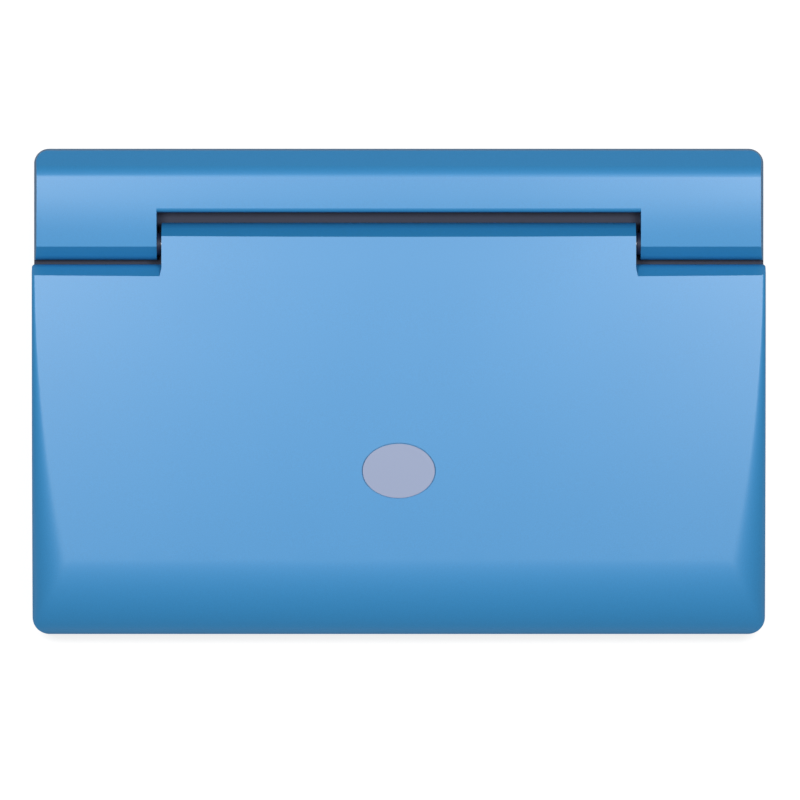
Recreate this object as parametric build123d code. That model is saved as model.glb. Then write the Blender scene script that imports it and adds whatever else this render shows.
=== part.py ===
from build123d import *
from functools import cache
import math
import os

# Kids learning laptop with a hinged lid, closed, in millimetres.
# X runs to the right, Y to the rear (hinge side), Z up.
# The origin is under the middle of the laptop, on the surface that it stands on.

# Whole laptop
lid_width = 310.6
lid_overhang = 0.5          # how far the lid reaches past the base at each side and at the front
depth = 206.0
foot_height = 1.5
foot_radius = 7.0
deck_height = 25.0          # top of the keyboard deck
lid_gap = 0.6               # closed lid above the deck
case_wall = 2.4
case_corner = 6.3
bottom_rounding = 5.6
floor_wall = 2.4
parting_height = 13.0       # where the base's two shells meet
reveal_depth = 0.35         # narrow step along the parting line
reveal_height = 0.5
past = 1.0                  # how far a cutting solid reaches past what it cuts
far_past = 10.0
merge = 1.0                 # how far a boss reaches into the wall that carries it

# Lid
lid_thickness = 17.9        # at the hinge
lid_fall = 3.2              # how much lower the lid's top is at the front
lid_crown = 0.9             # how much lower it is at the sides
lid_wall = 2.4
lid_front_corner = 7.2
lid_rear_corner = 1.3
lid_rear_y = 53.8           # rear of the lid beside the tongue
side_round_rear = 1.4       # width and drop of the side rounding, at the rear and front
side_round_front = 23.0
side_drop_rear = 1.4
side_drop_front = 13.0
front_round = 32.0
front_drop = 16.6
edge_fullness = 0.93        # how close the rounding comes to vertical at the rim
rounding_blend = 3.0
rim_overshoot = 0.8
surface_points = 49
lean_room = 4.0             # the bar's prism above the lid's top, before its profile cuts it
bevel_slope = 50.0          # bevels along both sides of the hinge groove, in degrees
bevel_flat = 3.9            # run of a bevel's flat part
bevel_round = 1.6           # run of its rounding into the upright face
notch_run = 0.85            # slanting corner where the tongue meets the bevel
notch_length = 3.6

# Hinge
hinge_y = 62.5
hinge_below_top = 7.3
barrel_radius = 9.0
tongue_half = 100.4
tongue_gap = 2.1            # between the tongue and the ears
tongue_crease = 2.8         # crease of the tongue behind the axis
tongue_root = 14.0          # how far the tongue's solid reaches into the lid
facet_flat = 3.8            # the tongue's rear facet and its rounding
facet_round = 2.4
pin_radius = 3.6
pin_bore = 2.1
pin_fit = 0.03
bush_radius = 5.6
bush_length = 20.0
bush_setback = 0.3
hinge_block = 24.0          # solid stretch at each end of the tongue
ear_boss_radius = 6.4
ear_boss_setback = 0.5
spigot_radius = 4.7         # collar of the ear round the pin, across the gap to the tongue
spigot_gap = 0.35

# Rear bar and ears of the base
ear_crease_y = 61.2         # the ears' front bevel starts here
bar_front_y = 75.8
bar_rise = 0.5              # crest of the bar above the lid's top
ear_step = 1.6              # front of the ears' top below the lid's top
bar_round = 12.5            # from the crest to the rear face: knee, slope and foot
bar_slope = 42.0            # how steep the bar's back is, in degrees
bar_knee = 5.0
bar_foot = 1.5
bar_front_round = 1.8       # edge of the bar along the tongue
side_lean = 1.6             # how far the bar's ends lean in

# Deck panel and keys
rim_side = 6.8
rim_front = 10.5
panel_rear_y = 50.0
panel_thickness = 2.0
panel_corner = 4.0
panel_clearance = 0.25
ledge_width = 3.0
ledge_height = 2.0
key_travel = 1.8
key_recess = 0.3            # key tops below the deck
well_depth = 2.7
well_floor = 2.0
well_margin = 1.6
well_corner = 2.5
key_gap = 3.4               # between neighbouring key caps
key_clearance = 0.4         # around a cap in its window
key_flange = 1.1
flange_thickness = 0.8
flange_clearance = 0.2
key_corner = 1.6
key_edge_round = 0.7
key_wall = 1.3
key_taper = 4.0
dish_depth = 0.45
dish_margin = 1.0
wall_taper = 0.4            # the cap's hollow inside its walls' foot
stem_radius = 2.0
stem_length = 0.3           # below the flange
stem_merge = 0.5            # how far the stem reaches into the cap's roof
dome_gap = 0.05
dome_radius = 4.0
mat_thickness = 1.0
board_thickness = 1.6
board_edge = 1.0            # keyboard board past the key blocks' sides, and behind their front
mat_inset = 1.0             # the mat inside the board's edges
side_margin = 12.0          # key blocks to the panel's ends
block_gap = 6.5             # between the letter block and the arrow keys
palm_depth = 37.0
strip_depth = 14.0
strip_margin = 5.0
strip_thickness = 0.6
strip_recess = 0.8
strip_clearance = 0.2
pad_height = 0.25
pad_gap = 3.0
pad_corner = 2.0
button_radius = 7.5
button_proud = 0.15
button_flange = 1.4

# Speakers under the palm rest
speaker_radius = 15.0
speaker_inset = 30.0        # from the panel's end
speaker_height = 11.0
speaker_gap = 0.1
speaker_rim = 1.5
speaker_lip = 2.0           # width of the raised edge round the cone
basket_height = 5.5
magnet_radius = 9.2
grille_radius = 12.0
grille_pitch = 3.6
grille_hole = 1.15

# Battery compartment
cell_radius = 7.25
cell_length = 50.5
cell_gap = 1.0
cell_clearance = 0.4
contact_room = 4.5
contact_thickness = 0.4
battery_y = 76.0
door_ledge = 1.8
door_clearance = 0.3
door_thickness = 1.9
door_corner = 3.0
door_seat_gap = 0.1
door_frame_height = 3.0
box_wall = 1.6
frame_overlap = 0.5         # of the door's frame and the floor round it
box_corner = 1.0
tab_width = 16.0
tab_depth = 8.0
door_head_depth = 1.2       # of the recess for the door screw's head
door_head_sink = 0.1
grip_count = 5              # finger grooves on the door
grip_pitch = 2.0
grip_half = 9.0
grip_shift = 6.0
grip_width = 1.0
grip_depth = 0.4
cell_nub_radius = 2.7
cell_nub_length = 1.4
cell_end_gap = 0.02
contact_gap = 0.05          # between a contact's tongue and the cell
leaf_half = 6.0
leaf_low = 5.0
leaf_high = 6.0
spring_half = 4.0
spring_low = 4.5
spring_high = 5.5
spring_thickness = 0.6

# Screws
screw_radius = 1.25
screw_head_radius = 2.6
screw_head_height = 1.5
screw_bite = 7.0            # thread in the boss
pilot_clearance = 0.05
screw_clearance = 0.3
boss_radius = 4.0
boss_cap = 1.0              # above the door screw's pilot hole
pilot_spare = 1.0           # of that hole, past the screw's tip
screw_seat = 4.5            # height of the floor boss under a case screw's head seat
screw_slot = 0.7            # width of the cross slot
slot_share = 0.65           # its length, as a share of the head
case_screw_inset = 13.8     # from the base's side
case_screw_front = 14.5     # from the base's front
middle_screw_gap = 1.0      # between the panel and the middle screws' bosses
rear_screw_shift = 6.0      # from the ears' inner faces
rear_screw_back = 14.0      # from the rear face
lid_screw_inset = 15.0
lid_screw_front_inset = 18.0
lid_screw_rear_inset = 14.0

# Rubber pads on the lid and feet under the base
bumper_radius = 2.5
bumper_inset = 10.0
bumper_front_inset = 6.5
bumper_rear_inset = 6.0
bumper_clearance = 0.08
foot_inset_x = 26.0
foot_inset_y = 20.0
foot_edge_round = 0.4

# Finger scoop in the base's front rim
scoop_width = 70.0
scoop_depth = 5.0
scoop_height = 8.0
scoop_corner = 3.0

# Display
screen_y = -20.0
window_width = 165.0
window_depth = 101.0
window_thickness = 1.4
window_clearance = 0.2
window_ledge = 5.0
window_corner = 4.0
bezel_thickness = 2.4
bezel_clearance = 0.15
lcd_margin = 2.5            # the display inside the window's edges
lcd_thickness = 5.0
lcd_corner = 1.5
lcd_lift = 0.1              # above the bezel
lcd_socket_inset = 10.0     # cable socket on the display's back
lcd_socket_size = 20.0
lcd_socket_height = 2.0

# Badge on the lid
badge_y = -33.7
badge_width = 30.5
badge_depth = 22.9
badge_sink = 1.3
badge_groove = 0.4

# Main board on the floor of the base
main_board_half = 60.0
main_board_front = -45.0
main_board_rear = 30.0
standoff_height = 3.0
standoff_radius = 2.2
standoff_inset = 6.0
standoff_rear = 22.0        # rear standoffs, from the board's rear edge
socket_width = 8.0
socket_length = 12.0
socket_height = 3.4
socket_rear = 4.0
processor_size = 22.0
memory_size = 12.0          # also the audio amplifier's
chip_height = 1.6
chip_spread = 21.0          # between the chips' centres

# Cable through the hinge
cable_radius = 1.4
cable_bend = 9.0
cable_split = 3.5           # joint of its two lengths, from the bush's inner end
cable_run_out = 2.5         # straight run between the pin's end and the bend
cable_drop_inset = 3.0      # the cable's way down, from the case screws
cable_turn = 38.0           # where it turns towards the board, from there
cable_under_board = 1.0
cable_over_display = 3.5
cable_before_hinge = 19.0
cable_slant = 17.0
cable_start = 0.1

# Worked out
base_half = lid_width / 2 - lid_overhang
lid_half = lid_width / 2
front_y = -depth / 2
base_front = front_y + lid_overhang
rear_y = depth / 2
floor_top = foot_height + floor_wall
lid_bottom = deck_height + lid_gap
lid_top = lid_bottom + lid_thickness
hinge_z = lid_top - hinge_below_top
ear_inner = tongue_half + tongue_gap
bevel_run = bevel_flat + bevel_round
ear_front_y = ear_crease_y - bevel_run
bar_low = parting_height - far_past
bar_crest = lid_top + bar_rise
bar_crest_y = rear_y - bar_round
sky = lid_top + 30.0        # above everything
panel_half = base_half - rim_side
panel_front = base_front + rim_front
panel_bottom = deck_height - panel_thickness
well_top = deck_height - well_depth
well_bottom = well_top - well_floor
key_top = deck_height - key_recess
flange_top = well_bottom - flange_clearance
flange_bottom = flange_top - flange_thickness
stem_bottom = flange_bottom - stem_length
dome_top = stem_bottom - dome_gap
mat_top = dome_top - key_travel
mat_bottom = mat_top - mat_thickness
board_bottom = mat_bottom - board_thickness
letter_columns = 11.75
arrow_columns = 3.0
pitch_x = (2 * (panel_half - side_margin) - block_gap) / (letter_columns + arrow_columns)
rows_rear = panel_rear_y - strip_depth - 2 * strip_margin
rows_front = panel_front + palm_depth
pitch_y = (rows_rear - rows_front) / 4
block_left = -panel_half + side_margin
arrow_left = panel_half - side_margin - arrow_columns * pitch_x
button_x = arrow_left + arrow_columns * pitch_x / 2
button_y = rows_rear - pitch_y
strip_y = panel_rear_y - strip_margin - strip_depth / 2
strip_length = letter_columns * pitch_x
speaker_x = panel_half - speaker_inset
speaker_y = panel_front + palm_depth / 2
cell_room_length = 2 * cell_length + 2 * contact_room
cell_room_depth = 4 * cell_radius + cell_gap + 2 * cell_clearance
door_length = cell_room_length + 2 * door_ledge
door_depth = cell_room_depth + 2 * door_ledge
frame_wall = door_clearance + case_wall
lcd_width = window_width - 2 * lcd_margin
lcd_depth = window_depth - 2 * lcd_margin
lcd_socket_x = lcd_width / 2 - lcd_socket_inset - lcd_socket_size / 2
lcd_socket_y = screen_y + 1.5 * lcd_socket_size
cell_z = foot_height + door_thickness + cell_clearance + cell_radius
box_top = cell_z + cell_radius + cell_clearance + box_wall
door_front = battery_y - door_depth / 2
tab_y = door_front - tab_depth / 2
bezel_top = lid_bottom + bezel_thickness
lcd_bottom = bezel_top + lcd_lift
lcd_top = lcd_bottom + lcd_thickness
lid_screw_x = lid_half - lid_screw_inset
lid_screw_front = front_y + lid_screw_front_inset
lid_screw_rear = lid_rear_y - lid_screw_rear_inset
case_screw_x = base_half - case_screw_inset
case_screw_y = base_front + case_screw_front
bush_outer = tongue_half - bush_setback
bush_inner = bush_outer - bush_length
cable_drop_x = case_screw_x - cable_drop_inset
pin_outer = cable_drop_x - cable_bend - cable_run_out
cable_split_x = bush_inner - cable_split
board_low = floor_top + standoff_height
board_top = board_low + board_thickness
socket_y = main_board_rear - socket_rear - socket_length / 2


def block(x0, x1, y0, y1, z0, z1):
    return Pos((x0 + x1) / 2, (y0 + y1) / 2, (z0 + z1) / 2) * Box(x1 - x0, y1 - y0, z1 - z0)


def plate(x, y, width, length, corner, z0, z1):
    return extrude(Pos(x, y, z0) * RectangleRounded(width, length, corner), z1 - z0)


def post(x, y, radius, z0, z1):
    return Pos(x, y, (z0 + z1) / 2) * Cylinder(radius, z1 - z0)


def rod(x0, x1, y, z, radius):
    return Pos((x0 + x1) / 2, y, z) * Rot(0, 90, 0) * Cylinder(radius, x1 - x0)


def side_prism(face, x0, x1):
    # A face drawn in (Y, Z) made solid from x0 to x1.
    plane = Plane(origin=(x0, 0, 0), x_dir=(0, 1, 0), z_dir=(1, 0, 0))
    return extrude(plane * face, x1 - x0)


# Lid's outer form

def rounding(distance, run, drop):
    # How far the top has fallen at a distance from the rim.
    along = (run - distance) / run
    if along <= 0:
        return 0.0
    if along <= 1:
        return drop * (1 - math.sqrt(1 - edge_fullness * along * along))
    slope = drop * edge_fullness / math.sqrt(1 - edge_fullness)
    return drop * (1 - math.sqrt(1 - edge_fullness)) + slope * (along - 1)


def lid_share(y):
    # 0 at the lid's rear, 1 at its front.
    return min(max((lid_rear_y - y) / (lid_rear_y - front_y), 0.0), 1.1)


def side_run(y):
    return side_round_rear + (side_round_front - side_round_rear) * lid_share(y) ** 2


def side_drop(y):
    return side_drop_rear + (side_drop_front - side_drop_rear) * lid_share(y) ** 2


def lid_height(x, y, inset):
    # Height of the lid's top, or of its inner roof when inset by a wall.
    top = lid_top - inset - lid_fall * lid_share(y) ** 1.4 - lid_crown * (x / lid_half) ** 2
    side = rounding(lid_half - inset - abs(x), side_run(y), side_drop(y))
    front = rounding(y - front_y - inset, front_round, front_drop)
    return top - (side ** rounding_blend + front ** rounding_blend) ** (1 / rounding_blend)


@cache
def above_lid(inset):
    # Everything above the lid's surface, to be cut away.
    reach = lid_half - inset + rim_overshoot
    near = front_y + inset - rim_overshoot
    far = hinge_y + barrel_radius + 6.0
    steps = [i / (surface_points - 1) for i in range(surface_points)]
    xs = [-reach * math.cos(math.pi * step) for step in steps]
    ys = [near + (far - near) * (1 - math.cos(math.pi / 2 * step)) for step in steps]
    points = [[Vector(x, y, lid_height(x, y, inset)) for x in xs] for y in ys]
    face = Face.make_surface_from_array_of_points(points, tol=0.005, min_deg=3, max_deg=5)
    return Solid.extrude(face, Vector(0, 0, sky))


def lid_plan(inset, z0, z1):
    width = lid_width - 2 * inset
    length = lid_rear_y - front_y - 2 * inset
    outline = Pos(0, (lid_rear_y + front_y) / 2) * Rectangle(width, length)
    corners = outline.vertices().sort_by(Axis.Y)
    outline = fillet(corners[:2], lid_front_corner - inset)
    if inset == 0:
        outline = fillet(outline.vertices().sort_by(Axis.Y)[-2:], lid_rear_corner)
    return extrude(Pos(0, 0, z0) * outline, z1 - z0)


def rounded_slope(y, z, way, slope, flat, rounded):
    # From a crease down a flat slope, then round into an upright face.
    angle = math.radians(slope)
    radius = rounded / (1 - math.sin(angle))
    turn = (angle + math.pi / 2) / 2
    flat_end = (y + way * flat, z - flat * math.tan(angle))
    foot = (flat_end[0] + way * rounded, flat_end[1] - radius * math.cos(angle))
    middle = (foot[0] - way * radius * (1 - math.sin(turn)), foot[1] + radius * math.cos(turn))
    return flat_end, middle, foot


def up_the_slope(y, z, way, slope):
    # Where the slope through a crease meets the sky.
    return (y - way * (sky - z) / math.tan(math.radians(slope)), sky)


def rear_bevel_profile():
    # The lid beside the tongue, seen from the side, with its sloping rear.
    crease = lid_rear_y - bevel_run
    flat_end, middle, foot = rounded_slope(crease, lid_top, 1, bevel_slope, bevel_flat, bevel_round)
    over = up_the_slope(crease, lid_top, 1, bevel_slope)
    low = lid_bottom - far_past
    far = front_y - far_past
    lines = [
        Line((far, low), (lid_rear_y, low)),
        Line((lid_rear_y, low), foot),
        ThreePointArc(foot, middle, flat_end),
        Line(flat_end, over),
        Line(over, (far, sky)),
        Line((far, sky), (far, low)),
    ]
    return make_face(lines)


def tongue_profile():
    # The tongue seen from the side: flat below, round about the hinge, sloping at the rear.
    crease = hinge_y + tongue_crease
    flat_end, middle, foot = rounded_slope(crease, lid_top, 1, bevel_slope, facet_flat, facet_round)
    over = up_the_slope(crease, lid_top, 1, bevel_slope)
    start = (hinge_y, hinge_z - barrel_radius)
    reach = foot[0] - hinge_y
    height = foot[1] - start[1]
    under = (hinge_y + reach * math.sqrt(0.5), foot[1] - height * math.sqrt(0.5))
    inner = lid_rear_y - tongue_root
    lines = [
        Line((inner, lid_bottom), (lid_rear_y, lid_bottom)),
        Line((lid_rear_y, lid_bottom), start),
        ThreePointArc(start, under, foot),
        ThreePointArc(foot, middle, flat_end),
        Line(flat_end, over),
        Line(over, (inner, sky)),
        Line((inner, sky), (inner, lid_bottom)),
    ]
    return make_face(lines)


def notch_corner(side):
    # Small upright wedge in the corner between the tongue and the bevel.
    crease = lid_rear_y - bevel_run
    points = [
        (side * (tongue_half - merge), crease - merge),
        (side * (tongue_half + notch_run), crease - merge),
        (side * (tongue_half + notch_run), crease),
        (side * tongue_half, crease + notch_length),
        (side * (tongue_half - merge), crease + notch_length),
    ]
    face = make_face(Polyline(points, close=True))
    low = lid_top - lid_thickness / 2
    return extrude(Pos(0, 0, low) * face, sky - low, dir=(0, 0, 1))


def lid_outside():
    reach = lid_half + past
    body = lid_plan(0, lid_bottom, sky) & side_prism(rear_bevel_profile(), -reach, reach)
    body += side_prism(tongue_profile(), -tongue_half, tongue_half)
    body += notch_corner(-1)
    body += notch_corner(1)
    return body - above_lid(0)


def lid_hollow():
    face = offset(rear_bevel_profile(), -lid_wall, kind=Kind.INTERSECTION)
    room = lid_plan(lid_wall, lid_bottom - past, sky) & side_prism(face, -lid_half, lid_half)
    inner_tongue = offset(tongue_profile(), -lid_wall, kind=Kind.INTERSECTION)
    half = tongue_half - hinge_block
    room += side_prism(inner_tongue, -half, half)
    return room - above_lid(lid_wall)


def badge_prism(grow, z0):
    oval = Ellipse(badge_width / 2 + grow, badge_depth / 2 + grow)
    return extrude(Pos(0, badge_y, z0) * oval, sky - z0)


def lid_screw_places():
    places = []
    for x in (-lid_screw_x, lid_screw_x):
        for y in (lid_screw_front, lid_screw_rear):
            places.append((x, y))
    return places


def lid_back_shell():
    outside = lid_outside()
    shell = outside - lid_hollow()
    for x, y in lid_screw_places():
        shell += post(x, y, boss_radius, bezel_top, lid_bottom + lid_thickness) & outside
    for x, y in lid_screw_places():
        shell -= post(x, y, screw_radius + pilot_clearance, bezel_top - past, bezel_top + screw_bite)
    for side in (-1, 1):
        ends = sorted((side * (tongue_half - hinge_block - past), side * (tongue_half + past)))
        shell -= rod(ends[0], ends[1], hinge_y, hinge_z, bush_radius + pin_fit)
    shell -= badge_prism(badge_groove, lid_height(0, badge_y, badge_sink))
    return shell


def lid_badge():
    return badge_prism(0, lid_height(0, badge_y, badge_sink)) - above_lid(0)


def lid_bezel():
    inset = lid_wall + bezel_clearance
    frame = lid_plan(inset, lid_bottom, bezel_top) - above_lid(inset)
    opening_width = window_width - 2 * window_ledge
    opening_depth = window_depth - 2 * window_ledge
    low, high = lid_bottom - past, bezel_top + past
    frame -= plate(0, screen_y, opening_width, opening_depth, window_corner, low, high)
    seat = lid_bottom + window_thickness + lcd_lift
    width = window_width + 2 * window_clearance
    length = window_depth + 2 * window_clearance
    frame -= plate(0, screen_y, width, length, window_corner, low, seat)
    head_end = lid_bottom + screw_head_height
    for x, y in lid_screw_places():
        frame -= post(x, y, screw_radius + screw_clearance, low, high)
        frame -= post(x, y, screw_head_radius + screw_clearance, low, head_end)
    return frame


def screen_window():
    top = lid_bottom + window_thickness
    return plate(0, screen_y, window_width, window_depth, window_corner, lid_bottom, top)


def lcd_panel():
    panel = plate(0, screen_y, lcd_width, lcd_depth, lcd_corner, lcd_bottom, lcd_top)
    half = lcd_socket_size / 2
    socket = block(lcd_socket_x - half, lcd_socket_x + half, lcd_socket_y - half, lcd_socket_y + half,
                   lcd_top, lcd_top + lcd_socket_height)
    return panel + socket


def screw(x, y, z, head_height, thread):
    # Head down at z, thread pointing up, with a cross slot in the head.
    head_end = z + head_height
    body = post(x, y, screw_head_radius, z, head_end)
    body += post(x, y, screw_radius, head_end, head_end + thread)
    arm = screw_head_radius * slot_share
    half = screw_slot / 2
    top = z + head_height / 2
    body -= block(x - arm, x + arm, y - half, y + half, z - past, top)
    return body - block(x - half, x + half, y - arm, y + arm, z - past, top)


def lid_screws():
    screws = []
    for x, y in lid_screw_places():
        screws.append(screw(x, y, lid_bottom, screw_head_height, screw_bite).solid())
    return Compound(screws)


def lid_bumpers():
    bumpers = []
    for x in (-lid_half + bumper_inset, lid_half - bumper_inset):
        for y in (front_y + bumper_front_inset, lid_rear_y - bumper_rear_inset):
            bumpers.append(post(x, y, bumper_radius, deck_height + bumper_clearance, lid_bottom).solid())
    return Compound(bumpers)


def hinge_bushes():
    bushes = []
    for side in (-1, 1):
        ends = sorted((side * bush_inner, side * bush_outer))
        bush = rod(ends[0], ends[1], hinge_y, hinge_z, bush_radius)
        bush -= rod(ends[0] - past, ends[1] + past, hinge_y, hinge_z, pin_radius + pin_fit)
        bushes.append(bush.solid())
    return Compound(bushes)


def hinge_pins():
    pins = []
    for side in (-1, 1):
        ends = sorted((side * bush_inner, side * pin_outer))
        pin = rod(ends[0], ends[1], hinge_y, hinge_z, pin_radius)
        pin -= rod(ends[0] - past, ends[1] + past, hinge_y, hinge_z, pin_bore)
        pins.append(pin.solid())
    return Compound(pins)


# Base shells

def base_plan(inset, z0, z1):
    width = 2 * (base_half - inset)
    length = rear_y - base_front - 2 * inset
    return plate(0, (rear_y + base_front) / 2, width, length, case_corner - inset, z0, z1)


def front_screw_places():
    return [(-case_screw_x, case_screw_y), (0, case_screw_y), (case_screw_x, case_screw_y)]


def middle_screw_places():
    y = panel_rear_y + boss_radius + middle_screw_gap
    return [(-case_screw_x, y), (case_screw_x, y)]


def rear_screw_places():
    x = ear_inner - rear_screw_shift
    return [(-x, rear_y - rear_screw_back), (x, rear_y - rear_screw_back)]


def door_outline(grow, z0, z1):
    corner = door_corner + grow
    panel = plate(0, battery_y, door_length + 2 * grow, door_depth + 2 * grow, corner, z0, z1)
    length = 1.5 * tab_depth + 2 * grow
    tab = plate(0, tab_y + tab_depth / 4, tab_width + 2 * grow, length, corner, z0, z1)
    return panel + tab


def battery_box():
    # Walls round the cells, thicker at the bottom where the door is seated.
    pocket_top = foot_height + door_thickness + door_seat_gap
    frame = door_outline(frame_wall, foot_height, floor_top + door_frame_height)
    room_top = box_top - box_wall
    room = plate(0, battery_y, cell_room_length, cell_room_depth, box_corner, foot_height - past, room_top)
    width = cell_room_length + 2 * box_wall
    length = cell_room_depth + 2 * box_wall
    walls = plate(0, battery_y, width, length, 2 * box_corner, floor_top, box_top)
    boss = post(0, tab_y, boss_radius, foot_height, floor_top + screw_bite + boss_cap)
    shape = frame + walls + boss - room
    shape -= door_outline(door_clearance, foot_height - past, pocket_top)
    pilot_end = floor_top + screw_bite
    return shape - post(0, tab_y, screw_radius + pilot_clearance, foot_height, pilot_end)


def base_bottom_shell():
    outer = base_plan(0, foot_height, parting_height - reveal_height)
    outer = fillet(outer.faces().sort_by(Axis.Z)[0].edges(), bottom_rounding)
    outer += base_plan(reveal_depth, parting_height - reveal_height, parting_height)
    hollow = base_plan(case_wall, floor_top, parting_height + past)
    hollow = fillet(hollow.faces().sort_by(Axis.Z)[0].edges(), bottom_rounding - case_wall)
    shell = outer - hollow
    shell -= door_outline(frame_wall - frame_overlap, foot_height - past, floor_top + past)
    shell += battery_box()
    seat = foot_height + screw_seat
    for x, y in front_screw_places() + middle_screw_places() + rear_screw_places():
        shell += post(x, y, boss_radius, foot_height + merge, parting_height)
        shell -= post(x, y, screw_radius + screw_clearance, foot_height, parting_height + past)
        shell -= post(x, y, screw_head_radius + screw_clearance, foot_height - past, seat)
    return shell


def bar_top_radius():
    run = bar_crest_y - ear_crease_y
    rise = bar_rise + ear_step
    return (run ** 2 + rise ** 2) / (2 * rise)


def bar_height(y):
    # Height of the ears' and the bar's top in front of the crest.
    radius = bar_top_radius()
    return bar_crest - radius + math.sqrt(radius ** 2 - (bar_crest_y - y) ** 2)


def bar_back():
    # From the crest over a rounded knee, down a slope and round into the rear face.
    angle = math.radians(bar_slope)
    knee = bar_knee / math.sin(angle)
    over_y = bar_crest_y + knee * math.sin(angle / 2)
    over = (over_y, bar_crest - knee * (1 - math.cos(angle / 2)))
    top = (bar_crest_y + bar_knee, bar_crest - knee * (1 - math.cos(angle)))
    flat = bar_round - bar_knee - bar_foot
    flat_end, middle, foot = rounded_slope(top[0], top[1], 1, bar_slope, flat, bar_foot)
    return [
        ThreePointArc((bar_crest_y, bar_crest), over, top),
        Line(top, flat_end),
        ThreePointArc(flat_end, middle, foot),
        Line(foot, (rear_y, bar_low)),
    ]


def bar_profile(inset):
    # Ear, bar crest and sloping back, seen from the side.
    ear_top = bar_height(ear_crease_y)
    flat_end, middle, foot = rounded_slope(ear_crease_y, ear_top, -1, bevel_slope, bevel_flat, bevel_round)
    half_way = (ear_crease_y + bar_crest_y) / 2
    lines = [
        Line((foot[0], bar_low), foot),
        ThreePointArc(foot, middle, flat_end),
        Line(flat_end, (ear_crease_y, ear_top)),
        ThreePointArc((ear_crease_y, ear_top), (half_way, bar_height(half_way)), (bar_crest_y, bar_crest)),
        *bar_back(),
        Line((rear_y, bar_low), (foot[0], bar_low)),
    ]
    face = make_face(lines)
    if inset > 0:
        face = offset(face, -inset, kind=Kind.INTERSECTION)
    return face


def bar_edge_cut():
    # What the rounding takes off the bar's edge along the tongue.
    far = bar_front_y + bar_front_round
    top = bar_height(far)
    low = top - bar_front_round
    knee = bar_front_round * (1 - math.sqrt(0.5))
    lines = [
        Line((bar_front_y - past, low), (bar_front_y, low)),
        ThreePointArc((bar_front_y, low), (bar_front_y + knee, top - knee), (far, top)),
        Line((far, top), (far, sky)),
        Line((far, sky), (bar_front_y - past, sky)),
        Line((bar_front_y - past, sky), (bar_front_y - past, low)),
    ]
    return side_prism(make_face(lines), -ear_inner, ear_inner)


def bar_solid(inset):
    # Ears and bar, with ends that lean in a little.
    width = 2 * (base_half - inset)
    length = rear_y - base_front - 2 * inset
    lean = math.degrees(math.atan(side_lean / (lid_top - deck_height)))
    outline = RectangleRounded(width, length, case_corner - inset)
    outline = Pos(0, (rear_y + base_front) / 2, deck_height) * outline
    rising = extrude(outline, lid_top + lean_room - deck_height, taper=lean)
    prism = rising + base_plan(inset, parting_height - past, deck_height)
    body = prism & side_prism(bar_profile(inset), -base_half, base_half)
    half = ear_inner + inset
    gap = block(-half, half, ear_front_y - far_past, bar_front_y + inset, deck_height - inset, sky)
    body -= gap
    if inset == 0:
        body -= bar_edge_cut()
    return body


def deck_slab(inset, z0, z1):
    # The low part of the base, in front of the ears and the bar.
    cut_rear = ear_front_y + far_past
    return base_plan(inset, z0, z1) & block(-lid_half, lid_half, base_front - past, cut_rear, z0, z1)


def scoop(grow):
    half = scoop_width / 2 + grow
    y0, y1 = base_front - far_past, base_front + scoop_depth + grow
    z0 = deck_height - scoop_height - grow
    return plate(0, (y0 + y1) / 2, 2 * half, y1 - y0, scoop_corner + grow, z0, deck_height + past)


def top_shell_walls():
    # Hollow shell, solid behind the finger scoop.
    above = block(-lid_half, lid_half, front_y, rear_y + past, parting_height, sky)
    outer = deck_slab(0, parting_height, deck_height) + (bar_solid(0) & above)
    hollow = deck_slab(case_wall, parting_height - past, deck_height - case_wall) + bar_solid(case_wall)
    behind_scoop = scoop(case_wall) & deck_slab(0, parting_height + past, deck_height)
    return outer, outer - (hollow - behind_scoop) - scoop(0)


def panel_ledge():
    # The rim that the deck panel rests on.
    grow = panel_clearance + case_wall
    ledge = panel_plate(grow, panel_bottom - ledge_height, panel_bottom)
    return ledge & deck_slab(0, parting_height, deck_height)


def panel_plate(grow, z0, z1):
    middle = (panel_rear_y + panel_front) / 2
    length = panel_rear_y - panel_front
    corner = panel_corner + max(grow, 0)
    return plate(0, middle, 2 * (panel_half + grow), length + 2 * grow, corner, z0, z1)


def hinge_supports(outer):
    # Bosses in the ears and collars across the gap to the tongue, before they are bored.
    supports = []
    for side in (-1, 1):
        ends = sorted((side * (ear_inner + ear_boss_setback), side * (pin_outer + past)))
        supports.append(rod(ends[0], ends[1], hinge_y, hinge_z, ear_boss_radius) & outer)
        ends = sorted((side * (tongue_half + spigot_gap), side * (ear_inner + merge)))
        supports.append(rod(ends[0], ends[1], hinge_y, hinge_z, spigot_radius))
    return supports


def base_top_shell():
    outer, shell = top_shell_walls()
    shell += panel_ledge()
    shell -= panel_plate(-ledge_width, parting_height, deck_height + past)
    shell -= panel_plate(panel_clearance, panel_bottom, deck_height + past)
    for x, y in front_screw_places():
        shell -= post(x, y, boss_radius + panel_clearance, parting_height, panel_bottom + past)
    for x, y in middle_screw_places():
        shell += post(x, y, boss_radius, parting_height, deck_height - merge)
        shell -= post(x, y, screw_radius + pilot_clearance, parting_height - past, deck_height - case_wall)
    for x, y in rear_screw_places():
        shell += post(x, y, boss_radius, parting_height, lid_top - merge)
        shell -= post(x, y, screw_radius + pilot_clearance, parting_height - past, deck_height)
    for support in hinge_supports(outer):
        shell += support
    for side in (-1, 1):
        ends = sorted((side * (tongue_half - past), side * (pin_outer + 2 * past)))
        shell -= rod(ends[0], ends[1], hinge_y, hinge_z, pin_radius + pin_fit)
    return shell


# Keys

def key_row(names, left, row):
    # Keys of one pitch side by side.
    return [("key_" + name, (left + column * pitch_x, row, 1.0)) for column, name in enumerate(names)]


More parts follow.
